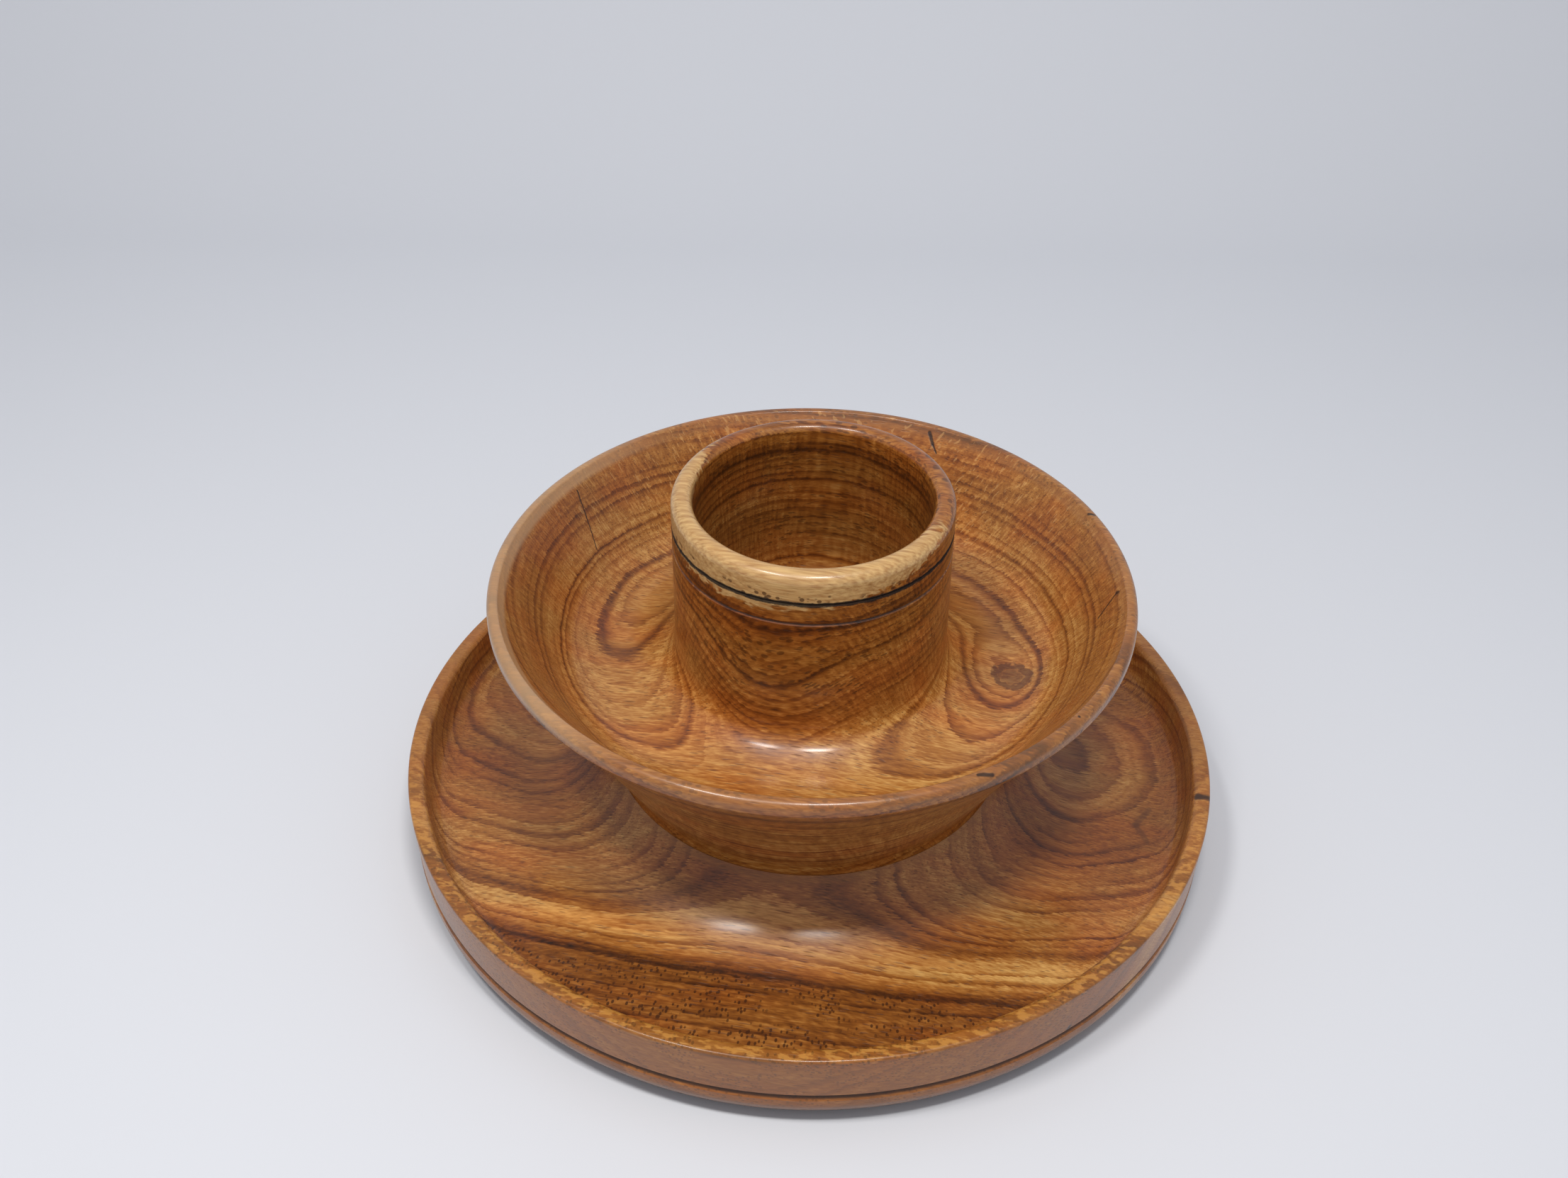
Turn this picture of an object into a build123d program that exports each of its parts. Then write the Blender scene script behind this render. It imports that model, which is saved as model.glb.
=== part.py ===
from build123d import *
import os
from math import radians, tan

# Two-tier chip and dip server, turned in wood on one vertical axis (Z).
# The tray stands on its foot ring. The bowl, with the dip cup in one piece with it,
# stands on the tray's hub and is kept central by a round spigot in a round socket.
# Millimetres. The origin is on the axis, in the plane that the foot ring stands on.

# Tray
TRAY_RADIUS = 127.0          # outside edge of the rim
TRAY_HEIGHT = 28.6           # table to rim
TRAY_RIM_WIDTH = 5.0
TRAY_RIM_OUTER_ROUND = 0.9
TRAY_RIM_INNER_ROUND = 2.0
TRAY_WALL_LEAN = 0.7         # how far the outside of the wall leans in, rim to foot
TRAY_INNER_LEAN = 2.4        # how far the inside of the wall leans in
TRAY_WALL_FOOT_HEIGHT = 14.0
TRAY_COVE_RADIUS = 8.0       # inside corner of wall and floor
TRAY_UNDER_RADIUS = 7.5      # outside corner of wall and underside
TRAY_LOW_RADIUS = 93.3       # ring where the floor is lowest
TRAY_LOW_HEIGHT = 13.2
TRAY_FLOOR_SWEEP = 38.0      # radius of the curve from the lowest ring up to the hub
TRAY_HUB_SLOPE = 54.0        # how steep that curve is where it meets the hub

# Underside
UNDERSIDE_HEIGHT = 1.8       # table to the underside, outside the foot ring
FOOT_OUTER_RADIUS = 88.0
FOOT_INNER_RADIUS = 80.0
FOOT_FLARE = 1.8             # how much wider the foot ring is where it joins the underside
FOOT_RECESS_DEPTH = 2.6
FOOT_ROUND = 0.8

# V-groove round the tray's wall
WALL_GROOVE_HEIGHT = 12.2
WALL_GROOVE_HALF_WIDTH = 1.3
WALL_GROOVE_DEPTH = 1.1

# Joint between the tiers: the bowl's flat seat lies on the hub
SEAT_HEIGHT = 29.4
SEAT_EDGE_ROUND = 0.35       # eased edges, which show as a fine line round the waist
SPIGOT_RADIUS = 30.0
SPIGOT_LENGTH = 7.0
SPIGOT_CLEARANCE = 0.3       # round the spigot and under its end
SPIGOT_EASE = 0.8

# Bowl
BOWL_RADIUS = 96.4           # widest part of the rim
BOWL_RIM_HEIGHT = 92.2
BOWL_RIM_WIDTH = 3.2         # top of the rim, measured before its edges are rounded
BOWL_RIM_DEPTH = 4.2         # top of the rim to the start of the underside
BOWL_RIM_OUTER_ROUND = 2.2
BOWL_RIM_INNER_ROUND = 0.8
BOWL_RIM_LOWER_ROUND = 1.2
BOWL_UNDER_RADIUS = 80.0     # ring where the underside turns a little steeper
BOWL_UNDER_HEIGHT = 65.2
BOWL_UNDER_SWEEP = 120.0
WAIST_STRAIGHT = 3.4         # seat to the corner that the waist's curve rounds
WAIST_ROUND = 5.0
BOWL_LOW_RADIUS = 61.5       # ring where the trough is lowest
BOWL_LOW_HEIGHT = 59.4
BOWL_WALL_FOOT = 71.7        # where the line of the inside wall meets the lowest level
BOWL_OUTER_SWEEP = 18.5      # trough's curve on the wall's side
BOWL_INNER_SWEEP = 30.7      # trough's curve on the cup's side
BOWL_INNER_SLOPE = 30.0      # how steep that curve is where it ends
CUP_FOOT_SWEEP = 8.5         # cove between the trough and the cup's wall

# Dip cup, in one piece with the bowl
CUP_HEIGHT = 122.6           # table to the cup's rim
CUP_OUTER_RADIUS = 41.2
CUP_FOOT_RADIUS = 41.5
CUP_INNER_RADIUS = 35.1
CUP_RIM_OUTER_ROUND = 3.2
CUP_RIM_INNER_ROUND = 2.4
CUP_DEPTH = 57.0
CUP_FLOOR_RADIUS = 33.6
CUP_FLOOR_CORNER = 12.0
BURNT_LINE_HEIGHT = 113.4    # the two fine V-grooves round the cup's outside
FINE_GROOVE_HEIGHT = 106.4
CUP_GROOVE_HALF_WIDTH = 0.5
CUP_GROOVE_DEPTH = 0.45


def turned(outline):
    """Spins a closed outline of (radius, height, corner round) about the Z axis."""
    points = [(radius, height) for radius, height, _ in outline]
    rounds = [corner for _, _, corner in outline]
    section = FilletPolyline(*points, radius=rounds, close=True)
    return revolve(make_face(Plane.XZ * section), Axis.Z)


def groove(wall_radius, height, half_width, depth):
    """The three points of a V-groove cut into an upright wall, from its top edge down."""
    return [
        (wall_radius, height + half_width, 0),
        (wall_radius - depth, height, 0),
        (wall_radius, height - half_width, 0),
    ]


def tray_outline():
    """From the axis at the socket's floor, out over the hub and round to the foot."""
    socket_radius = SPIGOT_RADIUS + SPIGOT_CLEARANCE
    socket_floor = SEAT_HEIGHT - SPIGOT_LENGTH - SPIGOT_CLEARANCE
    sweep_reach = TRAY_FLOOR_SWEEP * tan(radians(TRAY_HUB_SLOPE / 2))
    sweep_corner = TRAY_LOW_RADIUS - sweep_reach
    hub_rise = SEAT_HEIGHT - TRAY_LOW_HEIGHT
    seat_radius = sweep_corner - hub_rise / tan(radians(TRAY_HUB_SLOPE))
    rim_inside = TRAY_RADIUS - TRAY_RIM_WIDTH
    wall_radius = TRAY_RADIUS - TRAY_WALL_LEAN
    top = [
        (0, socket_floor, 0),
        (socket_radius, socket_floor, 0),
        (socket_radius, SEAT_HEIGHT, SEAT_EDGE_ROUND),
        (seat_radius, SEAT_HEIGHT, SEAT_EDGE_ROUND),
        (sweep_corner, TRAY_LOW_HEIGHT, TRAY_FLOOR_SWEEP),
        (rim_inside - TRAY_INNER_LEAN, TRAY_WALL_FOOT_HEIGHT, TRAY_COVE_RADIUS),
        (rim_inside, TRAY_HEIGHT, TRAY_RIM_INNER_ROUND),
        (TRAY_RADIUS, TRAY_HEIGHT, TRAY_RIM_OUTER_ROUND),
    ]
    wall_groove = groove(wall_radius, WALL_GROOVE_HEIGHT, WALL_GROOVE_HALF_WIDTH, WALL_GROOVE_DEPTH)
    underside = [
        (wall_radius, UNDERSIDE_HEIGHT, TRAY_UNDER_RADIUS),
        (FOOT_OUTER_RADIUS + FOOT_FLARE, UNDERSIDE_HEIGHT, FOOT_ROUND),
        (FOOT_OUTER_RADIUS, 0, FOOT_ROUND),
        (FOOT_INNER_RADIUS, 0, FOOT_ROUND),
        (FOOT_INNER_RADIUS - FOOT_FLARE, FOOT_RECESS_DEPTH, FOOT_ROUND),
        (0, FOOT_RECESS_DEPTH, 0),
    ]
    return top + wall_groove + underside


def bowl_outline(seat_radius):
    """From the axis at the spigot's end, up the outside, over both rims and into the cup."""
    spigot_end = SEAT_HEIGHT - SPIGOT_LENGTH
    inner_reach = BOWL_INNER_SWEEP * tan(radians(BOWL_INNER_SLOPE / 2))
    inner_corner = BOWL_LOW_RADIUS - inner_reach
    cup_foot_rise = (inner_corner - CUP_FOOT_RADIUS) * tan(radians(BOWL_INNER_SLOPE))
    outside = [
        (0, spigot_end, 0),
        (SPIGOT_RADIUS, spigot_end, SPIGOT_EASE),
        (SPIGOT_RADIUS, SEAT_HEIGHT, 0),
        (seat_radius, SEAT_HEIGHT, SEAT_EDGE_ROUND),
        (seat_radius, SEAT_HEIGHT + WAIST_STRAIGHT, WAIST_ROUND),
        (BOWL_UNDER_RADIUS, BOWL_UNDER_HEIGHT, BOWL_UNDER_SWEEP),
        (BOWL_RADIUS, BOWL_RIM_HEIGHT - BOWL_RIM_DEPTH, BOWL_RIM_LOWER_ROUND),
        (BOWL_RADIUS, BOWL_RIM_HEIGHT, BOWL_RIM_OUTER_ROUND),
    ]
    trough = [
        (BOWL_RADIUS - BOWL_RIM_WIDTH, BOWL_RIM_HEIGHT, BOWL_RIM_INNER_ROUND),
        (BOWL_WALL_FOOT, BOWL_LOW_HEIGHT, BOWL_OUTER_SWEEP),
        (inner_corner, BOWL_LOW_HEIGHT, BOWL_INNER_SWEEP),
        (CUP_FOOT_RADIUS, BOWL_LOW_HEIGHT + cup_foot_rise, CUP_FOOT_SWEEP),
    ]
    fine = groove(CUP_OUTER_RADIUS, FINE_GROOVE_HEIGHT, CUP_GROOVE_HALF_WIDTH, CUP_GROOVE_DEPTH)
    burnt = groove(CUP_OUTER_RADIUS, BURNT_LINE_HEIGHT, CUP_GROOVE_HALF_WIDTH, CUP_GROOVE_DEPTH)
    cup_grooves = fine[::-1] + burnt[::-1]
    cup = [
        (CUP_OUTER_RADIUS, CUP_HEIGHT, CUP_RIM_OUTER_ROUND),
        (CUP_INNER_RADIUS, CUP_HEIGHT, CUP_RIM_INNER_ROUND),
        (CUP_FLOOR_RADIUS, CUP_HEIGHT - CUP_DEPTH, CUP_FLOOR_CORNER),
        (0, CUP_HEIGHT - CUP_DEPTH, 0),
    ]
    return outside + trough + cup_grooves + cup


def main():
    os.makedirs("parts", exist_ok=True)
    tray = tray_outline()
    seat_radius = tray[3][0]
    export_step(turned(tray), "parts/tray.step")
    export_step(turned(bowl_outline(seat_radius)), "parts/dip_bowl.step")
    print(f"seat radius {seat_radius:.2f}")


main()
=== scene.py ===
from math import ceil, cos, radians, sin, tau

import bpy
from mathutils import Matrix, Vector


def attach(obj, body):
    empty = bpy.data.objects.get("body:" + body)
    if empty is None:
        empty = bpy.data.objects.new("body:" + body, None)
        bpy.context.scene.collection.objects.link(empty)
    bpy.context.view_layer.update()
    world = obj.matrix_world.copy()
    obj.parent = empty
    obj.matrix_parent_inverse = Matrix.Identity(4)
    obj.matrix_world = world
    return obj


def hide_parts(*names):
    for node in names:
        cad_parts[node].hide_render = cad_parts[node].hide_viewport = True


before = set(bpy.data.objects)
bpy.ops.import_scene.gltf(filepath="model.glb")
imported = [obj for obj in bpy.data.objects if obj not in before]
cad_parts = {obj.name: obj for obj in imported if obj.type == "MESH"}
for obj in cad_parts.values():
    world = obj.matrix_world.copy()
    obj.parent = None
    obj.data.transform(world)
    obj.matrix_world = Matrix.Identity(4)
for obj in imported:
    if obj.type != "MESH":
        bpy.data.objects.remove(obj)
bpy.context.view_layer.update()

# ---------------------------------------------------------------------------
# Tray
# The wide lower tier, turned on a faceplate from a flatsawn hardwood blank, sanded and oiled.
# Its floor sweeps up to a flat hub, whose round socket takes the bowl's spigot.
# ---------------------------------------------------------------------------

MM = 0.001
SAME = 1e-6
FACETS = 360                 # steps round a turned piece
LONGEST_STEP = 1.3 * MM      # longest step along a curved stretch of an outline
CORNER = radians(24)         # a sharper turn than this is an edge, not part of a curve
STRAIGHT = radians(0.2)


def seam_points(node):
    """The CAD node's own points on the half plane at azimuth 0, as (radius, height), with their edges."""
    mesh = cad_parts[node].data
    seam = {}
    for vertex in mesh.vertices:
        x, y, z = vertex.co
        if abs(y) < SAME and x > -SAME:
            seam[vertex.index] = (round(max(x, 0.0), 7), round(z, 7))
    joined = {place: set() for place in seam.values()}
    for edge in mesh.edges:
        first, second = (seam.get(index) for index in edge.vertices)
        if first and second and first != second:
            joined[first].add(second)
            joined[second].add(first)
    return joined


def outline_of(node):
    """Walks the seam from the axis, round the section and back to the axis. A flat ring has no edge
    along the seam, so there the walk steps straight across it at the same height. The walk sets out
    across the innermost flat, which is the floor of the cup or of the socket."""
    joined = seam_points(node)
    left = set(joined)
    innermost = min(left, key=lambda place: (round(place[0], 5), place[1]))
    walk = [(0.0, innermost[1])]
    while left:
        here = walk[-1]
        left.discard(here)
        level = [place for place in left if abs(place[1] - here[1]) < SAME]
        ahead = [place for place in joined.get(here, ()) if place in left] or level
        if not ahead:
            break
        walk.append(min(ahead, key=lambda place: (Vector(place) - Vector(here)).length))
    if walk[-1][0] > SAME:
        walk.append((0.0, walk[-1][1]))
    return [Vector(place) for place in walk]


def smoothed(outline):
    """Bends the outline's chords into the curves they stand for, and leaves straights and edges alone."""
    chords = [after - before for before, after in zip(outline, outline[1:])]
    finer = [outline[0]]
    for index, chord in enumerate(chords):
        ends = []
        for neighbour in (index - 1, index + 1):
            inside = 0 <= neighbour < len(chords)
            smooth = inside and chord.angle(chords[neighbour]) < CORNER
            ends.append((chord + chords[neighbour]).normalized() if smooth else chord.normalized())
        bend = max(chord.angle(end) for end in ends)
        steps = ceil(chord.length / LONGEST_STEP) if bend > STRAIGHT else 1
        start, stop = outline[index], outline[index + 1]
        for step in range(1, steps + 1):
            t = step / steps
            finer.append(
                start * (1 + 2 * t) * (1 - t) ** 2
                + stop * (3 - 2 * t) * t * t
                + (ends[0] * t * (1 - t) ** 2 - ends[1] * (1 - t) * t * t) * chord.length
            )
    return finer


def lathe():
    """A node tree that spins an outline, given as a row of points, about the Z axis into a closed skin."""
    tree = bpy.data.node_groups.new("turned on the lathe", "GeometryNodeTree")
    face = tree.interface
    face.new_socket("Outline", in_out="INPUT", socket_type="NodeSocketGeometry")
    facets = face.new_socket("Facets", in_out="INPUT", socket_type="NodeSocketInt")
    wood = face.new_socket("Wood", in_out="INPUT", socket_type="NodeSocketMaterial")
    face.new_socket("Piece", in_out="OUTPUT", socket_type="NodeSocketGeometry")
    facets.default_value = FACETS

    def node(kind, **settings):
        made = tree.nodes.new(kind)
        for name, value in settings.items():
            setattr(made, name, value)
        return made

    def calc(operation, *values):
        made = node("ShaderNodeMath", operation=operation)
        for socket, value in zip(made.inputs, values):
            if isinstance(value, (int, float)):
                socket.default_value = value
            else:
                tree.links.new(value, socket)
        return made.outputs[0]

    given = node("NodeGroupInput")
    count = node("GeometryNodeAttributeDomainSize")
    tree.links.new(given.outputs["Outline"], count.inputs[0])
    points = count.outputs["Point Count"]
    sheet = node("GeometryNodeMeshGrid")
    tree.links.new(calc("ADD", given.outputs["Facets"], 1), sheet.inputs["Vertices X"])
    tree.links.new(points, sheet.inputs["Vertices Y"])
    index = node("GeometryNodeInputIndex").outputs[0]
    turn = calc("FLOOR", calc("DIVIDE", calc("ADD", index, 0.5), points))
    angle = calc("MULTIPLY", calc("DIVIDE", turn, given.outputs["Facets"]), tau)
    along = calc("SUBTRACT", index, calc("MULTIPLY", turn, points))
    sample = node("GeometryNodeSampleIndex", data_type="FLOAT_VECTOR", domain="POINT")
    tree.links.new(given.outputs["Outline"], sample.inputs["Geometry"])
    tree.links.new(node("GeometryNodeInputPosition").outputs[0], sample.inputs["Value"])
    tree.links.new(along, sample.inputs["Index"])
    split = node("ShaderNodeSeparateXYZ")
    tree.links.new(sample.outputs[0], split.inputs[0])
    place = node("ShaderNodeCombineXYZ")
    tree.links.new(calc("MULTIPLY", split.outputs[0], calc("COSINE", angle)), place.inputs[0])
    tree.links.new(calc("MULTIPLY", split.outputs[0], calc("SINE", angle)), place.inputs[1])
    tree.links.new(split.outputs[2], place.inputs[2])
    spin = node("GeometryNodeSetPosition")
    tree.links.new(sheet.outputs["Mesh"], spin.inputs["Geometry"])
    tree.links.new(place.outputs[0], spin.inputs["Position"])
    weld = node("GeometryNodeMergeByDistance")
    weld.inputs["Distance"].default_value = SAME
    tree.links.new(spin.outputs[0], weld.inputs["Geometry"])
    outward = node("GeometryNodeFlipFaces")
    tree.links.new(weld.outputs[0], outward.inputs[0])
    real = node("GeometryNodeRealizeInstances")
    tree.links.new(outward.outputs[0], real.inputs[0])
    finish = node("GeometryNodeSetMaterial")
    tree.links.new(real.outputs[0], finish.inputs["Geometry"])
    tree.links.new(given.outputs["Wood"], finish.inputs["Material"])
    tree.links.new(finish.outputs[0], node("NodeGroupOutput").inputs["Piece"])
    return tree, facets.identifier, wood.identifier


LATHE, FACETS_INPUT, WOOD_INPUT = lathe()


def turned(name, node, wood):
    """The turned piece that stands for a CAD node, as a plain mesh in the node's own place."""
    outline = smoothed(outline_of(node))
    row = bpy.data.meshes.new(name + "_outline")
    row.from_pydata([(point.x, 0, point.y) for point in outline], [], [])
    blank = bpy.data.objects.new(name + "_blank", row)
    bpy.context.scene.collection.objects.link(blank)
    spin = blank.modifiers.new("lathe", "NODES")
    spin.node_group = LATHE
    spin[FACETS_INPUT] = FACETS
    spin[WOOD_INPUT] = wood
    depsgraph = bpy.context.evaluated_depsgraph_get()
    mesh = bpy.data.meshes.new_from_object(blank.evaluated_get(depsgraph))
    bpy.data.objects.remove(blank)
    mesh.name = name
    mesh.shade_smooth()
    mesh.set_sharp_from_angle(angle=CORNER)
    piece = bpy.data.objects.new(name, mesh)
    bpy.context.scene.collection.objects.link(piece)
    return piece


def srgb(red, green, blue):
    """A colour given in 0 to 255 screen values, as the linear colour that a shader takes."""
    def linear(value):
        value /= 255
        return value / 12.92 if value <= 0.04045 else ((value + 0.055) / 1.055) ** 2.4
    return (linear(red), linear(green), linear(blue), 1)


class Wood:
    """The solid figure of one blank, and the oil finish on it. The growth rings are tubes about the pith,
    which lies below the blank, runs nearly along X and arches up under its middle. arch is how sharply it
    does so, as a curvature per metre, and the other measures are in millimetres and radians."""

    def __init__(self, name, pith_height, pith_offset, yaw, tilt, arch):
        self.material = bpy.data.materials.new(name)
        self.material.use_nodes = True
        self.tree = self.material.node_tree
        self.shader = self.tree.nodes["Principled BSDF"]
        coordinates = self.node("ShaderNodeTexCoord")
        in_mm = self.node("ShaderNodeVectorMath", operation="SCALE")
        self.link(coordinates.outputs["Object"], in_mm.inputs[0])
        in_mm.inputs["Scale"].default_value = 1 / MM
        self.place = in_mm.outputs[0]
        split = self.node("ShaderNodeSeparateXYZ")
        self.link(self.place, split.inputs[0])
        self.x, self.y, self.z = split.outputs
        squares = [self.calc("MULTIPLY", part, part) for part in (self.x, self.y)]
        self.radius = self.calc("SQRT", self.calc("ADD", *squares))
        self.along = self.calc("ADD", self.times(self.x, cos(yaw)), self.times(self.y, sin(yaw)))
        side = self.calc("SUBTRACT", self.times(self.y, cos(yaw)), self.times(self.x, sin(yaw)))
        self.across = self.calc("SUBTRACT", side, pith_offset)
        rise = self.calc("SUBTRACT", self.z, pith_height)
        rise = self.calc("SUBTRACT", rise, self.times(self.along, tilt))
        droop = self.times(self.calc("MULTIPLY", self.along, self.along), arch * MM / 2)
        self.above = self.calc("ADD", rise, droop)
        squares = [self.calc("MULTIPLY", part, part) for part in (self.across, self.above)]
        self.distance = self.calc("SQRT", self.calc("ADD", *squares))
        self.bearing = self.calc("ARCTAN2", self.across, self.above)

    def node(self, kind, **settings):
        made = self.tree.nodes.new(kind)
        for name, value in settings.items():
            setattr(made, name, value)
        return made

    def link(self, source, target):
        if isinstance(source, (int, float, tuple)):
            target.default_value = source
        else:
            self.tree.links.new(source, target)

    def calc(self, operation, *values, clamp=False):
        made = self.node("ShaderNodeMath", operation=operation, use_clamp=clamp)
        for socket, value in zip(made.inputs, values):
            self.link(value, socket)
        return made.outputs[0]

    def times(self, value, factor):
        return self.calc("MULTIPLY", value, factor)

    def where(self, *zones):
        """1 only where every one of the zones is 1."""
        shared = zones[0]
        for zone in zones[1:]:
            shared = self.calc("MULTIPLY", shared, zone)
        return shared

    def vector(self, x, y, z):
        made = self.node("ShaderNodeCombineXYZ")
        for socket, value in zip(made.inputs, (x, y, z)):
            self.link(value, socket)
        return made.outputs[0]

    def noise(self, x, y, z, detail=2.0, roughness=0.5):
        """Even noise about zero, from coordinates already divided by the size of its lumps."""
        made = self.node("ShaderNodeTexNoise")
        self.link(self.vector(x, y, z), made.inputs["Vector"])
        made.inputs["Scale"].default_value = 1
        made.inputs["Detail"].default_value = detail
        made.inputs["Roughness"].default_value = roughness
        return self.calc("SUBTRACT", made.outputs[0], 0.5)

    def grain(self, length, width, shift=0.0, **settings):
        """Noise in streaks that run with the fibres."""
        parts = (self.times(self.across, 1 / width), self.times(self.above, 1 / width))
        return self.noise(self.calc("ADD", self.times(self.along, 1 / length), shift), *parts, **settings)

    def step(self, value, low, high):
        """0 below low, 1 above high and smooth between."""
        made = self.node("ShaderNodeMapRange", interpolation_type="SMOOTHSTEP")
        self.link(value, made.inputs["Value"])
        made.inputs["From Min"].default_value = low
        made.inputs["From Max"].default_value = high
        return made.outputs["Result"]

    def band(self, value, centre, half_width, soft):
        """1 within half_width of centre, fading to 0 over soft."""
        away = self.calc("ABSOLUTE", self.calc("SUBTRACT", value, centre))
        return self.step(away, half_width + soft, half_width)

    def mix(self, share, first, second, kind="MIX"):
        made = self.node("ShaderNodeMix", data_type="RGBA", blend_type=kind)
        sockets = [s for s in made.inputs if s.enabled]
        for socket, value in zip(sockets, (share, first, second)):
            self.link(value, socket)
        return next(s for s in made.outputs if s.enabled)

    def ramp(self, value, low, high, stops):
        """A colour read off stops of (value, colour) between low and high."""
        made = self.node("ShaderNodeValToRGB")
        share = self.calc("DIVIDE", self.calc("SUBTRACT", value, low), high - low)
        self.link(share, made.inputs[0])
        elements = made.color_ramp.elements
        while len(elements) < len(stops):
            elements.new(0.5)
        for element, (at, colour) in zip(elements, stops):
            element.position = (at - low) / (high - low)
            element.color = colour
        return made.outputs[0]

    def apart(self, place):
        """Distance from a place."""
        away = [self.calc("SUBTRACT", value, at) for value, at in zip((self.x, self.y, self.z), place)]
        squares = [self.calc("MULTIPLY", value, value) for value in away]
        return self.calc("SQRT", self.calc("ADD", self.calc("ADD", squares[0], squares[1]), squares[2]))

    def check(self, start, stop, half_width, waver=0.5):
        """A drying check: 1 on a fine wavering line from start to stop, in millimetres."""
        start, stop = Vector(start), Vector(stop)
        run = stop - start
        offset = self.node("ShaderNodeVectorMath", operation="SUBTRACT")
        self.link(self.place, offset.inputs[0])
        self.link(tuple(start), offset.inputs[1])
        dot = self.node("ShaderNodeVectorMath", operation="DOT_PRODUCT")
        self.link(offset.outputs[0], dot.inputs[0])
        self.link(tuple(run / run.length_squared), dot.inputs[1])
        share = self.calc("ADD", dot.outputs["Value"], 0.0, clamp=True)
        reach = self.node("ShaderNodeVectorMath", operation="SCALE")
        self.link(tuple(run), reach.inputs[0])
        self.link(share, reach.inputs["Scale"])
        away = self.node("ShaderNodeVectorMath", operation="SUBTRACT")
        self.link(offset.outputs[0], away.inputs[0])
        self.link(reach.outputs[0], away.inputs[1])
        wander = self.noise(*[self.times(value, 1 / 3) for value in (self.x, self.y, self.z)])
        bent = self.node("ShaderNodeVectorMath", operation="ADD")
        self.link(away.outputs[0], bent.inputs[0])
        self.link(self.vector(self.times(wander, waver), self.times(wander, waver), 0), bent.inputs[1])
        length = self.node("ShaderNodeVectorMath", operation="LENGTH")
        self.link(bent.outputs[0], length.inputs[0])
        return self.step(length.outputs["Value"], half_width * 1.6, half_width * 0.6)


RAY_RADIUS = 150             # how far from the pith the rays' widths are measured, in millimetres


def figured(wood, rings, year, first_ring, last_ring):
    """Gives the wood its growth rings, fibres, rays and pores. rings holds (distance from the pith, tone),
    where tone 0 is the darkest late wood and 1 the palest early wood, and year is a usual year's growth."""
    ray = wood.noise(
        wood.times(wood.bearing, RAY_RADIUS / 0.5), wood.times(wood.distance, 1 / 8),
        wood.times(wood.along, 1 / 3), detail=1.5,
    )
    wander = wood.times(wood.grain(50, 24, detail=1.5), 2.6)
    ripple = wood.grain(12, 4.5, 7.1, detail=2)
    ragged = wood.times(ray, 1.1)
    ring = wood.calc("ADD", wood.calc("ADD", wood.distance, wander), wood.calc("ADD", ripple, ragged))
    tones = [(at, (tone, tone, tone, 1)) for at, tone in rings]
    tone = wood.ramp(ring, first_ring, last_ring, tones)
    uneven = wood.times(wood.noise(wood.times(ring, 1 / 9), 0.0, 0.0, detail=2), 3.4)
    season = wood.calc("FRACT", wood.calc("ADD", wood.times(ring, 1 / year), uneven))
    # Late wood darkens toward the end of each year and breaks off sharply, and some years hardly show it.
    late = wood.where(wood.step(season, 0.42, 0.93), wood.step(season, 1.0, 0.96))
    strength = wood.noise(wood.times(ring, 1 / 6), 0.0, wood.times(wood.along, 1 / 45))
    late = wood.where(late, wood.step(strength, -0.22, 0.16))
    fine = wood.noise(wood.times(ring, 1 / 0.9), 0.0, wood.times(wood.along, 1 / 60), detail=2, roughness=0.6)
    streaks = wood.grain(24, 1.7, 3.3, detail=4, roughness=0.66)
    fibres = wood.grain(6, 0.38, 1.7, detail=2, roughness=0.6)
    tone = wood.calc("SUBTRACT", tone, wood.times(late, 0.25))
    tone = wood.calc("ADD", tone, wood.times(fine, 0.30))
    tone = wood.calc("ADD", tone, wood.times(streaks, 0.44))
    tone = wood.calc("ADD", tone, wood.times(fibres, 0.40))
    tone = wood.calc("ADD", tone, wood.times(ray, 0.52))
    colour = wood.ramp(tone, 0.0, 1.0, [
        (0.00, srgb(38, 18, 4)),
        (0.22, srgb(86, 44, 10)),
        (0.45, srgb(130, 76, 24)),
        (0.65, srgb(164, 108, 46)),
        (1.00, srgb(218, 172, 100)),
    ])
    warmth = wood.step(wood.grain(60, 13, 11.0, detail=2), -0.14, 0.18)
    colour = wood.mix(wood.times(warmth, 0.5), colour, srgb(255, 204, 146), "MULTIPLY")
    # Pores: short dark vessels, drawn out along the fibres.
    vessels = wood.node("ShaderNodeTexVoronoi", feature="F1")
    wood.link(
        wood.vector(
            wood.times(wood.along, 1 / 8), wood.times(wood.across, 1 / 0.8), wood.times(wood.above, 1 / 0.8)
        ),
        vessels.inputs["Vector"],
    )
    vessels.inputs["Scale"].default_value = 1
    pores = wood.step(vessels.outputs["Distance"], 0.30, 0.12)
    wood.colour = wood.mix(wood.times(pores, 0.5), colour, srgb(60, 28, 8))
    wood.ring = ring
    raised = wood.times(wood.calc("ADD", fibres, ray), 0.25)
    wood.relief = wood.calc("ADD", raised, wood.times(pores, -0.6))
    wood.bare = 0.0
    wood.dull = wood.calc("ADD", wood.times(streaks, 0.10), wood.times(pores, 0.15))
    return wood


def stained(wood, share, colour, kind="MIX"):
    """Lays a colour over part of the wood."""
    wood.colour = wood.mix(share, wood.colour, colour, kind)


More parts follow.
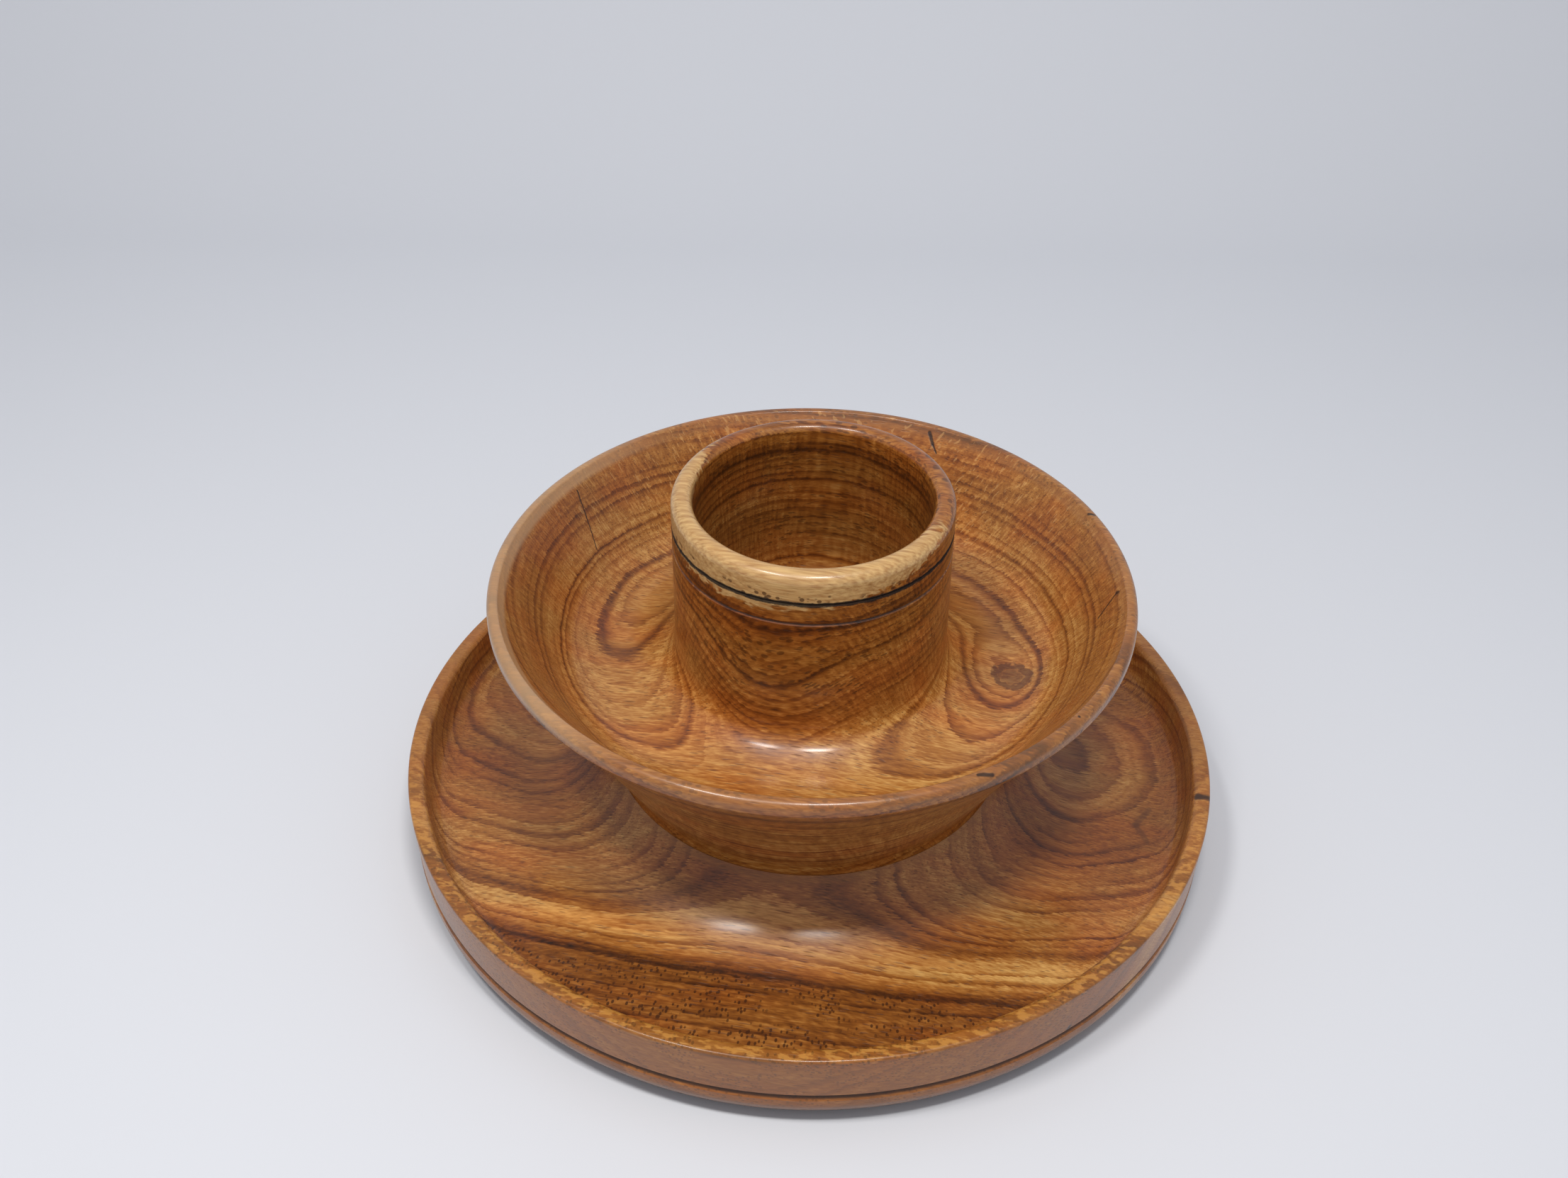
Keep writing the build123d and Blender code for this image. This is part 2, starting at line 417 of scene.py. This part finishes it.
def flecked(wood, zone, share, size, spread):
    """Shows the ends of the rays as short dark dashes in one zone of the wood. size is a dash's reach round
    the pith, away from it and along it, and spread how much of the zone has them."""
    cells = wood.node("ShaderNodeTexVoronoi", feature="F1")
    round_pith, away, along = size
    wood.link(
        wood.vector(
            wood.times(wood.bearing, RAY_RADIUS / round_pith), wood.times(wood.distance, 1 / away),
            wood.times(wood.along, 1 / along)
        ),
        cells.inputs["Vector"],
    )
    cells.inputs["Scale"].default_value = 1
    patches = wood.step(wood.grain(20, 7, 21.0, detail=1), -spread, 0.12 - spread)
    shown = wood.where(wood.step(cells.outputs["Distance"], 0.40, 0.26), patches, zone)
    stained(wood, wood.times(shown, share), srgb(58, 27, 6))
    wood.relief = wood.calc("SUBTRACT", wood.relief, wood.times(shown, 0.3))


def checked(wood, start, stop, half_width, waver=0.5):
    """A drying check, dark with old dust and slightly open."""
    open_wood = wood.check(start, stop, half_width, waver)
    stained(wood, wood.times(open_wood, 0.9), srgb(34, 17, 8))
    wood.relief = wood.calc("SUBTRACT", wood.relief, open_wood)


def oiled(wood):
    """Closes the material: rubbed oil and wax over sanded wood, a soft gloss that dips into the pores."""
    shader = wood.shader
    wood.link(wood.colour, shader.inputs["Base Color"])
    wood.link(wood.calc("ADD", wood.dull, 0.40), shader.inputs["Roughness"])
    shader.inputs["IOR"].default_value = 1.42
    wood.link(wood.times(wood.calc("SUBTRACT", 1, wood.bare), 0.42), shader.inputs["Coat Weight"])
    shader.inputs["Coat Roughness"].default_value = 0.17
    bump = wood.node("ShaderNodeBump")
    bump.inputs["Strength"].default_value = 0.5
    bump.inputs["Distance"].default_value = 0.12 * MM
    wood.link(wood.relief, bump.inputs["Height"])
    wood.link(bump.outputs[0], shader.inputs["Normal"])
    return wood.material


TRAY_RINGS = [
    (50, 0.58), (58, 0.60), (63, 0.68), (66, 0.54), (74, 0.52), (80, 0.64), (86, 0.66), (93, 0.70),
    (100, 0.62), (102.6, 0.50), (105, 0.74), (108.5, 0.92), (112, 0.74), (115, 0.62), (116.8, 0.48),
    (118.3, 0.20), (118.9, 0.20), (119.6, 0.42), (123, 0.40), (127, 0.46), (133, 0.48), (142, 0.52),
]
WALL_GROOVE = 12.2           # height of the V-groove round the wall
WALL_OUTSIDE = 124           # beyond this radius it is the wall's outside
PINCHED_V = (103.6, -23.4, 13.8)

tray_wood = Wood("tray_wood", pith_height=-35, pith_offset=20, yaw=-0.154, tilt=-0.018, arch=2.25)
figured(tray_wood, TRAY_RINGS, 3.9, 50, 150)
flecked(tray_wood, tray_wood.step(tray_wood.ring, 116, 120), 0.85, (1.0, 3.4, 1.2), 0.10)

# The rim is burnished by the sanding, with pale tufts of fibre where its front cuts across the grain.
tray_rim = tray_wood.step(tray_wood.z, 26.6, 28.2)
stained(tray_wood, tray_wood.times(tray_rim, 0.40), srgb(146, 94, 36))
rim_front = tray_wood.where(
    tray_wood.step(tray_wood.z, 20, 25),
    tray_wood.step(tray_wood.y, 20, -50),
    tray_wood.band(tray_wood.radius, 120, 6, 1),
)
tufts = tray_wood.step(tray_wood.grain(4, 1.6, 41.0, detail=3), -0.02, 0.10)
stained(tray_wood, tray_wood.times(tray_wood.where(tufts, rim_front), 0.55), srgb(204, 146, 68))

# The wall's outside is rubbed smooth along the grain.
outside = tray_wood.calc("GREATER_THAN", tray_wood.radius, WALL_OUTSIDE)
wall_outside = tray_wood.where(outside, tray_wood.step(tray_wood.z, 27.6, 26.2))
stained(tray_wood, tray_wood.times(wall_outside, 0.55), srgb(146, 90, 40))
# Painted shade: the underside below the groove is darkened, where it lies in shadow.
stained(tray_wood, tray_wood.times(tray_wood.step(tray_wood.z, 10.5, 5.0), 0.6), srgb(58, 32, 14))

# Painted shade: a dark line in the V-groove, deeper than the groove's own shape shades it.
groove_painted_shade = tray_wood.where(tray_wood.band(tray_wood.z, WALL_GROOVE, 0.35, 0.7), outside)
stained(tray_wood, tray_wood.times(groove_painted_shade, 0.81), srgb(48, 22, 12))

# A pin knot on the rim, the ring that is pinched to a V beside it, and a small knot low on the wall
# with a fine check above it.
checked(tray_wood, (120.5, -25.0, 28.6), (127.5, -26.5, 27.0), 1.1, 1.0)
for end in ((108.5, -17.0, 13.8), (106.0, -30.5, 13.8)):
    pinch = tray_wood.check(end, PINCHED_V, 0.9, 2.0)
    stained(tray_wood, tray_wood.times(pinch, 0.5), srgb(84, 46, 18))
checked(tray_wood, (73.3, -102.4, 12.6), (73.9, -101.9, 14.6), 0.7)
checked(tray_wood, (74.0, -101.9, 14.6), (78.0, -98.9, 24.0), 0.22)

tray = turned("tray_turned", "tray", oiled(tray_wood))
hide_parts("tray")
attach(tray, "tray")

# ---------------------------------------------------------------------------
# Dip bowl
# The upper tier: a flared bowl and its dip cup turned in one piece, with a short spigot underneath.
# Two V-grooves were cut round the cup, and the upper one was burnt black with a hot wire.
# ---------------------------------------------------------------------------

BOWL_RINGS = [
    (140, 0.62), (151, 0.72), (153.8, 0.68), (154.6, 0.42), (155.2, 0.64), (159, 0.74), (164.0, 0.70),
    (165.2, 0.46), (166.0, 0.72), (168, 0.74), (170, 0.68), (175, 0.62), (181, 0.56), (185, 0.62),
    (190, 0.64), (193.8, 0.58), (194.5, 0.16), (195.2, 0.56), (201, 0.56), (203.6, 0.46),
    (204.8, 0.14), (205.6, 0.46), (209, 0.50), (212, 0.54), (225, 0.60),
]
BURNT_LINE = 113.4           # height of the burnt V-groove round the cup
FINE_GROOVE = 106.4          # height of the plain one below it
KNOT = (62.0, -6.0)          # the knot in the trough, which swells the rings round it
KNOT_SWELL = 3.6
CUP_SWELL = (-14, -40, 78)   # a hidden lump in the rings, which closes them on the cup's front
CUP_SWELL_HEIGHT = 11
KNOT_RINGS = ((4.9, 0.8, 0.75), (2.3, 0.6, 0.6), (0.3, 0.8, 0.6))   # radius, half width and share
DRYING_CHECKS = [
    ((38.8, 83.4, 90.4), (40.0, 80.8, 87.4), 0.55),
    ((40.0, 80.8, 87.4), (41.2, 78.6, 85.2), 0.28),
    ((-76.5, 48.3, 88.1), (-73.3, 43.8, 80.3), 0.22),
    ((-73.3, 43.8, 80.3), (-70.0, 38.5, 71.9), 0.16),
    ((96.2, -5.2, 90.6), (91.0, -1.0, 89.0), 0.6),
    ((91.0, -1.0, 89.0), (86.0, -4.0, 81.5), 0.3),
    ((86.5, 34.8, 92.2), (88.4, 34.4, 92.2), 0.5),
    ((44.2, -83.4, 92.2), (47.9, -82.8, 91.6), 0.5),
    ((72.8, -60.0, 92.2), (73.4, -62.6, 88.6), 0.35),
]

bowl_wood = Wood("bowl_wood", pith_height=-90, pith_offset=21, yaw=-0.167, tilt=-0.012, arch=1.68)
knot_away = [bowl_wood.calc("SUBTRACT", value, at) for value, at in zip((bowl_wood.x, bowl_wood.y), KNOT)]
knot_squares = [bowl_wood.calc("MULTIPLY", away, away) for away in knot_away]
knot_radius = bowl_wood.calc("SQRT", bowl_wood.calc("ADD", *knot_squares))
pull = bowl_wood.step(knot_radius, 24, 2)
bowl_wood.distance = bowl_wood.calc("SUBTRACT", bowl_wood.distance, bowl_wood.times(pull, KNOT_SWELL))
dip = bowl_wood.step(bowl_wood.apart(CUP_SWELL), 34, 2)
bowl_wood.distance = bowl_wood.calc("ADD", bowl_wood.distance, bowl_wood.times(dip, CUP_SWELL_HEIGHT))
figured(bowl_wood, BOWL_RINGS, 3.4, 140, 225)

# The knot in the trough: a dark broken eye.
in_lumps = [bowl_wood.times(value, 1 / 2.2) for value in (bowl_wood.x, bowl_wood.y, bowl_wood.z)]
lumps = bowl_wood.noise(*in_lumps)
uneven_knot = bowl_wood.calc("ADD", knot_radius, bowl_wood.times(lumps, 5.0))
inside_bowl = bowl_wood.where(bowl_wood.step(bowl_wood.x, 50, 52), bowl_wood.step(bowl_wood.z, 50, 54))
for radius, half_width, share in KNOT_RINGS:
    swirl = bowl_wood.where(bowl_wood.band(uneven_knot, radius, half_width, 1.0), inside_bowl)
    stained(bowl_wood, bowl_wood.times(swirl, share), srgb(78, 38, 16))

# Ray ends show high on the cup and along the rim, whose edge was sanded finer than the rest.
beyond_cup = bowl_wood.step(bowl_wood.radius, 43, 46)
on_cup = bowl_wood.calc("SUBTRACT", 1, beyond_cup)
bowl_rim = bowl_wood.where(bowl_wood.step(bowl_wood.z, 88.4, 90.0), beyond_cup)
upper_cup = bowl_wood.where(on_cup, bowl_wood.step(bowl_wood.z, 74, 84))
flecked(bowl_wood, upper_cup, 0.6, (2.6, 1.0, 3.4), 0.06)
flecked(bowl_wood, bowl_rim, 0.55, (1.2, 1.4, 2.4), 0.05)
stained(bowl_wood, bowl_wood.times(bowl_rim, 0.35), srgb(150, 104, 64))

# The pale sapwood that the front and left of the cup's top reach, with a ragged edge.
lean = bowl_wood.calc("ADD", bowl_wood.times(bowl_wood.x, 0.122), bowl_wood.times(bowl_wood.y, 0.211))
outward = bowl_wood.calc("SUBTRACT", bowl_wood.radius, 38)
bark_side = bowl_wood.calc("SUBTRACT", bowl_wood.z, lean)
bark_side = bowl_wood.calc("ADD", bark_side, bowl_wood.times(outward, 0.35))
ragged_edge = bowl_wood.calc("ADD", bark_side, bowl_wood.times(bowl_wood.grain(6, 1.6, 31.0, detail=3), 9))
sapwood = bowl_wood.where(bowl_wood.step(ragged_edge, 121.2, 122.6), on_cup)
sapwood_tone = bowl_wood.calc("ADD", bowl_wood.grain(9, 0.8, 5.0, detail=3), 0.5)
sapwood_colour = bowl_wood.ramp(sapwood_tone, 0.2, 0.7, [(0, srgb(148, 102, 54)), (1, srgb(212, 176, 118))])
stained(bowl_wood, bowl_wood.times(sapwood, 0.85), sapwood_colour)
by_burnt_line = bowl_wood.where(on_cup, bowl_wood.band(bowl_wood.z, 114.8, 1.4, 1.2))
flecked(bowl_wood, by_burnt_line, 0.75, (2.2, 1.6, 2.0), 0.10)

# Painted glints: bright hairs where the ray fibres on the wall behind the cup catch the light.
ray_glints = bowl_wood.noise(
    bowl_wood.times(bowl_wood.bearing, RAY_RADIUS / 0.4), bowl_wood.times(bowl_wood.distance, 1 / 5),
    bowl_wood.times(bowl_wood.along, 1 / 2.5), detail=1,
)
back_wall = bowl_wood.where(beyond_cup, bowl_wood.step(bowl_wood.y, 12, 50))
ray_glints = bowl_wood.where(bowl_wood.step(ray_glints, 0.13, 0.20), back_wall)
stained(bowl_wood, bowl_wood.times(ray_glints, 0.30), srgb(226, 178, 112))

# Painted shade down inside the cup, darkening the wood toward its floor.
within_cup = bowl_wood.step(bowl_wood.radius, 36.6, 35.4)
cup_painted_shade = bowl_wood.where(within_cup, bowl_wood.step(bowl_wood.z, 121, 112))
stained(bowl_wood, bowl_wood.times(cup_painted_shade, 0.28), srgb(70, 38, 12))

# Painted highlight: the rim pales toward its left edge, which catches the light.
rim_painted_highlight = bowl_wood.where(bowl_rim, bowl_wood.step(bowl_wood.x, -45, -80))
stained(bowl_wood, bowl_wood.times(rim_painted_highlight, 0.45), srgb(214, 178, 134))
# Painted shade: the bowl darkens toward its left end, where that wall lies in shade.
left_end_painted_shade = bowl_wood.where(bowl_wood.step(bowl_wood.along, -45, -90), beyond_cup)
stained(bowl_wood, bowl_wood.times(left_end_painted_shade, 0.22), srgb(74, 36, 12))

for start, stop, half_width in DRYING_CHECKS:
    checked(bowl_wood, start, stop, half_width)

# The grooves round the cup. The burn is uneven, and soot has crept into the fibres beside it.
around = bowl_wood.calc("ARCTAN2", bowl_wood.y, bowl_wood.x)
creep = bowl_wood.noise(
    bowl_wood.times(around, 9), bowl_wood.times(bowl_wood.z, 0.5), 0.0, detail=4, roughness=0.7,
)
soot_edge = bowl_wood.calc("ADD", bowl_wood.z, bowl_wood.times(creep, 1.6))
cup_side = bowl_wood.where(on_cup, bowl_wood.calc("GREATER_THAN", bowl_wood.radius, 39))
burn = bowl_wood.where(bowl_wood.band(soot_edge, BURNT_LINE, 0.55, 0.5), cup_side)
stained(bowl_wood, bowl_wood.times(burn, 0.95), srgb(17, 10, 6))
bowl_wood.bare = burn
bowl_wood.dull = bowl_wood.calc("ADD", bowl_wood.dull, bowl_wood.times(burn, 0.5))
# Painted shade along the upper side of the plain groove below the burnt one.
fine = bowl_wood.where(bowl_wood.band(soot_edge, FINE_GROOVE + 0.25, 0.25, 0.5), cup_side)
stained(bowl_wood, bowl_wood.times(fine, 0.6), srgb(58, 28, 12))

bowl = turned("dip_bowl_turned", "dip_bowl", oiled(bowl_wood))
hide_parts("dip_bowl")
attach(bowl, "dip_bowl")

# ---------------------------------------------------------------------------
# Table sweep, lights and camera
# A pale paper sweep runs from the table up behind, in a light tent with two soft lamps overhead.
# ---------------------------------------------------------------------------

SWEEP_FRONT = -0.9
SWEEP_BACK = 0.62
SWEEP_BEND = 0.22
SWEEP_BEND_STEPS = 24
SWEEP_TOP = 1.4
SWEEP_SIDE = 1.6
AIMED_AT = Vector((0, -0.03, 0.05))
CAMERA_PLACE = Vector((0, -0.39574, 0.39397))
CAMERA_AHEAD = Vector((-0.0165246, 0.7899494, -0.6129493))
CAMERA_UP = Vector((-0.0205246, 0.6126358, 0.7900988))
CAMERA_LENS = 38.27

profile = [(SWEEP_FRONT, 0.0), (SWEEP_BACK - SWEEP_BEND, 0.0)]
for step in range(1, SWEEP_BEND_STEPS + 1):
    angle = step / SWEEP_BEND_STEPS * tau / 4
    profile.append((SWEEP_BACK - SWEEP_BEND + SWEEP_BEND * sin(angle), SWEEP_BEND * (1 - cos(angle))))
profile.append((SWEEP_BACK, SWEEP_TOP))
points = [(side, y, z) for y, z in profile for side in (-SWEEP_SIDE, SWEEP_SIDE)]
faces = [(2 * k, 2 * k + 1, 2 * k + 3, 2 * k + 2) for k in range(len(profile) - 1)]
paper = bpy.data.meshes.new("paper_sweep")
paper.from_pydata(points, [], faces)
paper.shade_smooth()
sweep = bpy.data.objects.new("paper_sweep", paper)
bpy.context.scene.collection.objects.link(sweep)
paper_material = bpy.data.materials.new("pale_paper")
paper_material.use_nodes = True
paper_shader = paper_material.node_tree.nodes["Principled BSDF"]
paper_shader.inputs["Base Color"].default_value = srgb(214, 217, 223)
paper_shader.inputs["Roughness"].default_value = 0.9
paper.materials.append(paper_material)

world = bpy.data.worlds.new("light_tent")
world.use_nodes = True
world.node_tree.nodes["Background"].inputs["Color"].default_value = srgb(233, 234, 239)
world.node_tree.nodes["Background"].inputs["Strength"].default_value = 0.62
bpy.context.scene.world = world


def lamp(name, place, size, power):
    """A soft oval lamp, twice as long as it is wide, that points at the middle of the object."""
    light = bpy.data.lights.new(name, "AREA")
    light.shape = "ELLIPSE"
    light.size = size
    light.size_y = size / 2
    light.energy = power
    light.color = (1.0, 0.97, 0.93)
    holder = bpy.data.objects.new(name, light)
    holder.location = place
    holder.rotation_euler = (AIMED_AT - Vector(place)).to_track_quat("-Z", "Y").to_euler()
    bpy.context.scene.collection.objects.link(holder)


lamp("lamp_left", (-0.26, -0.24, 0.82), 0.18, 2.2)
lamp("lamp_right", (0.05, -0.30, 0.83), 0.18, 3.1)

camera_data = bpy.data.cameras.new("camera")
camera_data.sensor_width = 36
camera_data.lens = CAMERA_LENS
camera = bpy.data.objects.new("camera", camera_data)
ahead = CAMERA_AHEAD.normalized()
right = ahead.cross(CAMERA_UP).normalized()
upward = right.cross(ahead)
turn = Matrix((right, upward, -ahead)).transposed()
camera.matrix_world = Matrix.Translation(CAMERA_PLACE) @ turn.to_4x4()
bpy.context.scene.collection.objects.link(camera)
bpy.context.scene.camera = camera

# Light that the glossy wood throws onto itself draws pale bands of haze, so it is left out.
bpy.context.scene.cycles.caustics_reflective = False
bpy.context.scene.view_settings.view_transform = "Standard"
